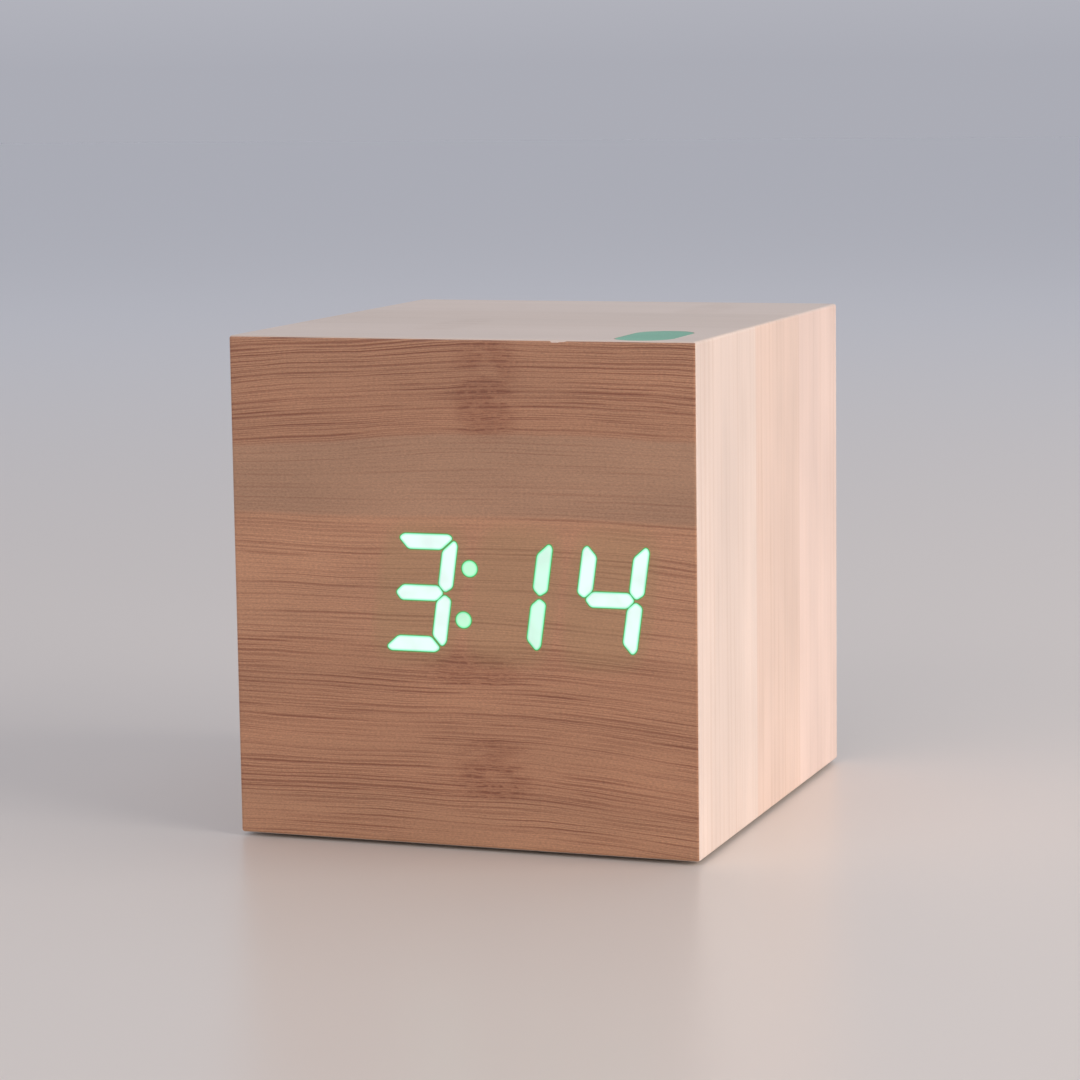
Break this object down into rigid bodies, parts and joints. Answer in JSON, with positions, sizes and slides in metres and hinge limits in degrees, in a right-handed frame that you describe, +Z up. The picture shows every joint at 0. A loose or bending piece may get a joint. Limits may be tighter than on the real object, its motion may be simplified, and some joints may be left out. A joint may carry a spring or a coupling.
{
  "type": "alarm clock",
  "caption": "Block-shaped LED table clock with a bamboo-veneered case, digits that shine through the front veneer, rear keys, a slide switch and a battery bay with a hinged door.",
  "frame": {"origin": "on the table, under the middle of the case", "axes": "+X to the viewer's right, -Y out of the display, +Z up"},
  "size_m": [0.065, 0.07, 0.068],
  "materials": {
    "bamboo_veneer": "satin lacquered bamboo",
    "fibreboard": "raw",
    "pine_block": "raw",
    "lit_segments": "light through veneer",
    "unlit_segments": "satin lacquered bamboo",
    "black_plastic": "fine spark-eroded texture",
    "key_plastic": "smooth matt",
    "white_plastic": "smooth",
    "mask_plastic": "matt",
    "diffuser_film": "milky",
    "circuit_green": "solder mask",
    "sheet_steel": "nickel plated",
    "zinc_steel": "zinc plated",
    "cell_jacket": "printed film sleeve",
    "ribbon_grey": "smooth",
    "red_wire": "smooth",
    "black_wire": "smooth",
    "pad_rubber": "matt",
    "green_mark": "satin",
    "white_print": "screen print"
  },
  "bodies": {
    "case": {"left_panel": "fibreboard", "right_panel": "fibreboard", "bottom_panel": "fibreboard", "top_panel": "fibreboard", "front_panel": "fibreboard", "left_veneer": "bamboo_veneer", "right_veneer": "bamboo_veneer", "bottom_veneer": "bamboo_veneer", "top_veneer": "bamboo_veneer", "front_veneer": "bamboo_veneer", "rear_edge_band": "bamboo_veneer", "top_mark": "green_mark", "corner_block_left": "pine_block", "corner_block_right": "pine_block", "cleat_left": "pine_block", "cleat_right": "pine_block", "foot_front_left": "pad_rubber", "foot_front_right": "pad_rubber", "foot_rear_left": "pad_rubber", "foot_rear_right": "pad_rubber", "segment_mask": "mask_plastic", "diffuser_film": "diffuser_film", "display_board": "circuit_green", "rear_cover": "black_plastic", "battery_cell_1": "cell_jacket", "battery_cell_2": "cell_jacket", "battery_cell_3": "cell_jacket", "negative_terminal": "sheet_steel", "positive_terminal": "sheet_steel", "bridge_contact_left": "sheet_steel", "bridge_contact_right": "sheet_steel", "main_board": "circuit_green", "backup_cell_holder": "black_plastic", "backup_cell": "sheet_steel", "set_switch_body": "black_plastic", "up_switch_body": "black_plastic", "down_switch_body": "black_plastic", "slide_switch_body": "zinc_steel", "power_socket": "black_plastic", "microphone": "zinc_steel", "buzzer": "black_plastic", "ribbon_cable": "ribbon_grey", "battery_lead_black": "black_wire", "battery_lead_red": "red_wire", "cover_screw_upper_left": "zinc_steel", "cover_screw_upper_right": "zinc_steel", "cover_screw_lower_left": "zinc_steel", "cover_screw_lower_right": "zinc_steel", "display_screw_upper_left": "zinc_steel", "display_screw_upper_right": "zinc_steel", "display_screw_lower_left": "zinc_steel", "display_screw_lower_right": "zinc_steel"},
    "set_key": {"set_key": "key_plastic", "set_switch_plunger": "white_plastic"},
    "up_key": {"up_key": "key_plastic", "up_switch_plunger": "white_plastic"},
    "down_key": {"down_key": "key_plastic", "down_switch_plunger": "white_plastic"},
    "slide_knob": {"slide_switch_knob": "key_plastic"},
    "battery_door": {"battery_door": "black_plastic"}
  },
  "joints": [
    {"name": "set_key_press", "type": "slide", "parent": "case", "child": "set_key", "axis": [0, -1, 0], "range_m": [0, 0.0005], "stiffness_N_per_m": 1500, "springref_m": -0.0005},
    {"name": "up_key_press", "type": "slide", "parent": "case", "child": "up_key", "axis": [0, -1, 0], "range_m": [0, 0.0005], "stiffness_N_per_m": 1500, "springref_m": -0.0005},
    {"name": "down_key_press", "type": "slide", "parent": "case", "child": "down_key", "axis": [0, -1, 0], "range_m": [0, 0.0005], "stiffness_N_per_m": 1500, "springref_m": -0.0005},
    {"name": "slide_switch_throw", "type": "slide", "parent": "case", "child": "slide_knob", "axis": [1, 0, 0], "range_m": [0, 0.002]},
    {"name": "battery_door_hinge", "type": "hinge", "parent": "case", "child": "battery_door", "pos_m": [0, 0.0342, 0.0072], "axis": [-1, 0, 0], "range_deg": [0, 80]}
  ]
}
